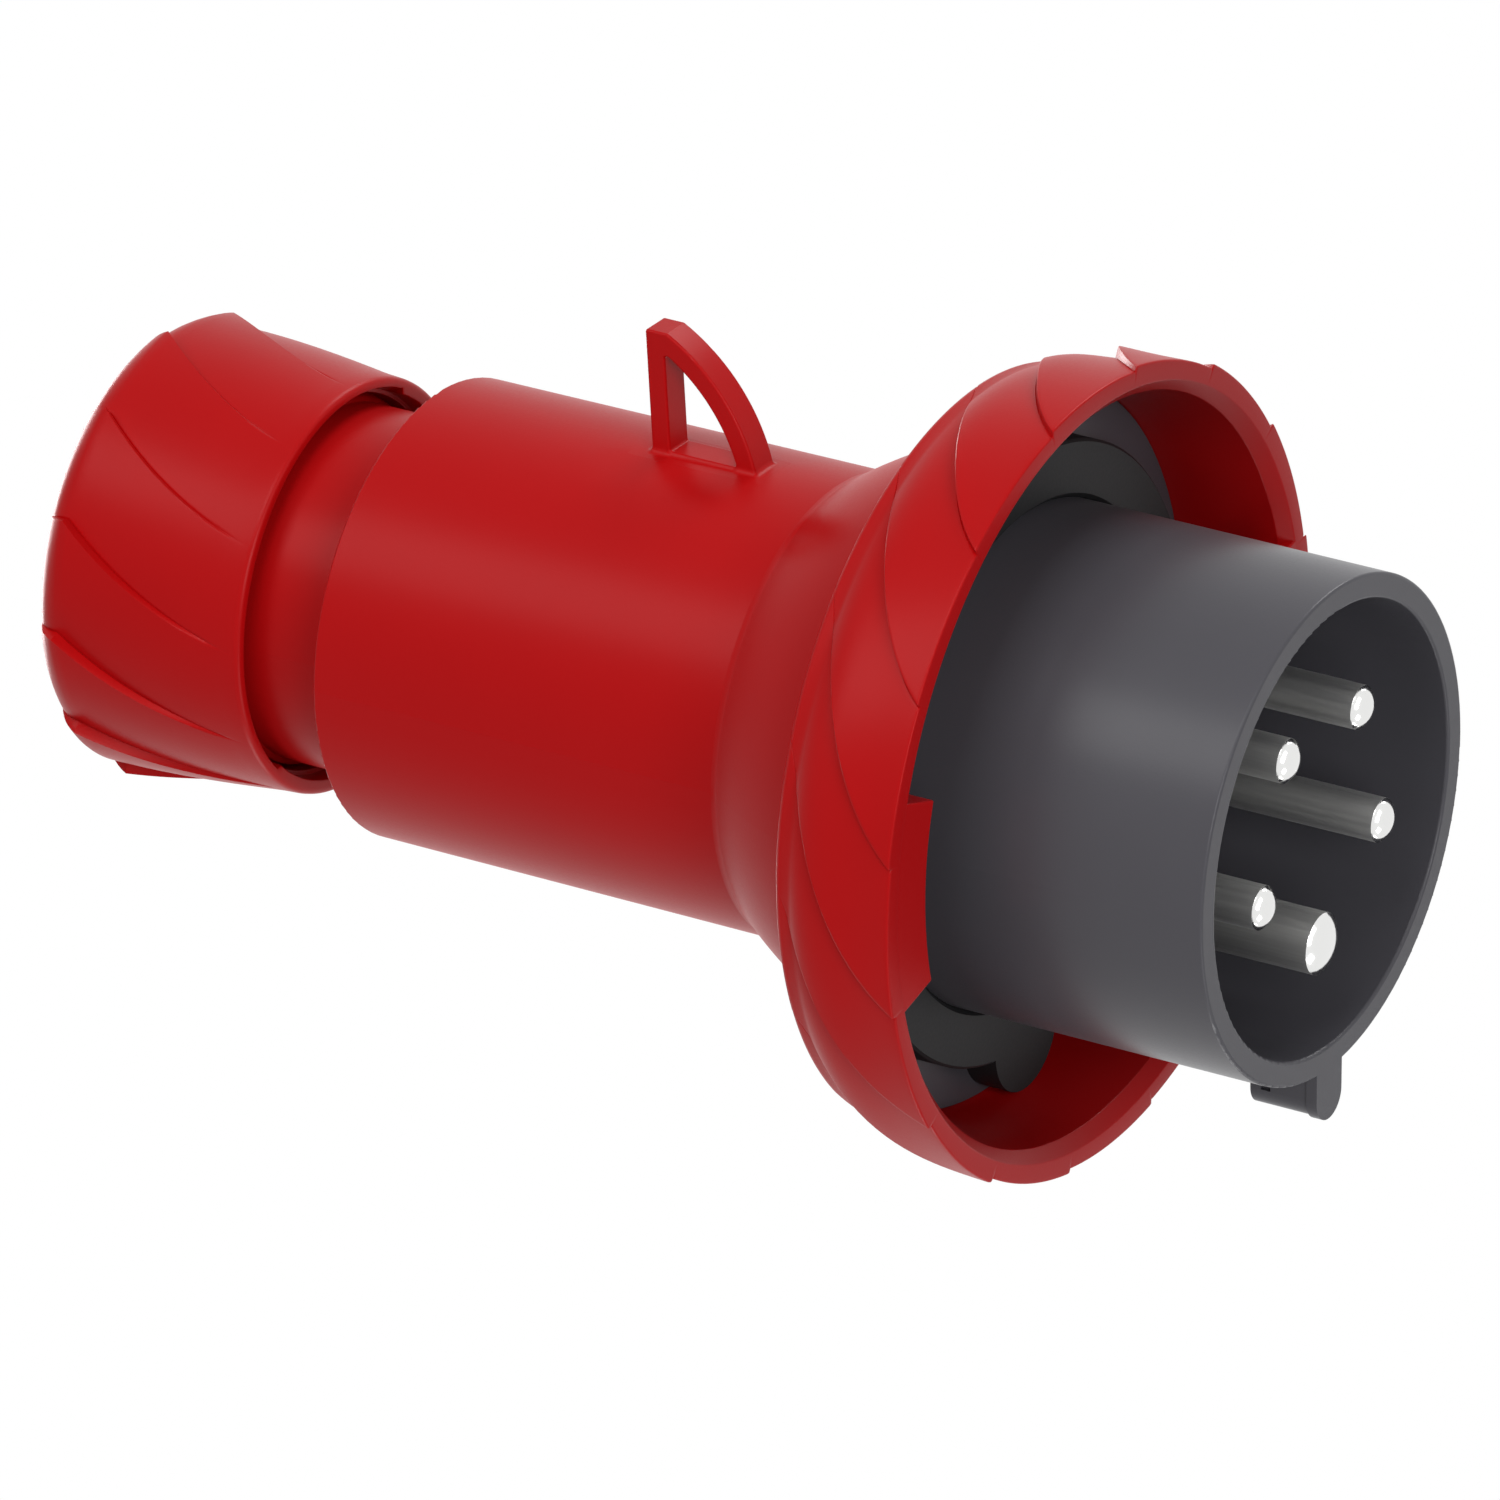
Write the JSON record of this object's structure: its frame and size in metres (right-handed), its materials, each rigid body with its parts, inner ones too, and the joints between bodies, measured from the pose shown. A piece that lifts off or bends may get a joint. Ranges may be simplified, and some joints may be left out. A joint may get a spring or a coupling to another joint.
{
  "type": "industrial pin and sleeve plug",
  "caption": "Watertight industrial pin and sleeve power plug with a keyed shroud, contact pins, a bayonet coupling ring, a hanging loop and a cable gland.",
  "frame": {"origin": "centre of the shroud's rim, the plane that the plug stands on", "axes": "+Z along the plug's axis to the cable gland, -Y to the key and earth pin at six o'clock, +Y to the hanging loop"},
  "size_m": [0.0916, 0.0916, 0.151],
  "materials": {
    "red_plastic": "satin, light grain",
    "nut_plastic": "satin, light grain",
    "ring_plastic": "satin, light grain",
    "insert_plastic": "satin",
    "carrier_plastic": "satin",
    "gland_plastic": "natural polyamide",
    "seal_rubber": "matt",
    "sleeve_rubber": "matt",
    "pin_metal": "nickel plated, turned",
    "screw_steel": "zinc plated"
  },
  "bodies": {
    "plug": {"housing": "red_plastic", "hanging_loop": "red_plastic", "front_insert": "insert_plastic", "contact_carrier": "carrier_plastic", "clamp_cage": "gland_plastic", "face_seal": "seal_rubber", "insert_gasket": "seal_rubber", "pin_seals": "seal_rubber", "cable_sleeve": "sleeve_rubber", "cable_reducer": "sleeve_rubber", "pin_pe": "pin_metal", "pin_n": "pin_metal", "pin_l1": "pin_metal", "pin_l2": "pin_metal", "pin_l3": "pin_metal", "terminal_screws": "screw_steel", "wire_guards": "screw_steel", "carrier_screw": "screw_steel"},
    "ring": {"coupling_ring": "ring_plastic"},
    "thrust": {"thrust_ring": "gland_plastic"},
    "nut": {"gland_nut": "nut_plastic"}
  },
  "joints": [
    {"name": "ring_turn", "type": "hinge", "parent": "plug", "child": "ring", "pos_m": [0, 0, 0.0442], "axis": [0, 0, 1], "range_deg": [-45, 0]},
    {"name": "gland_travel", "type": "slide", "parent": "plug", "child": "thrust", "axis": [0, 0, 1], "range_m": [0, 0.009]},
    {"name": "gland_turn", "type": "hinge", "parent": "thrust", "child": "nut", "pos_m": [0, 0, 0.1378], "axis": [0, 0, 1], "range_deg": [0, 1080]}
  ],
  "couplings": [
    {"joint": "gland_travel", "follows": "gland_turn", "m_per_rad": 0.00047746}
  ]
}
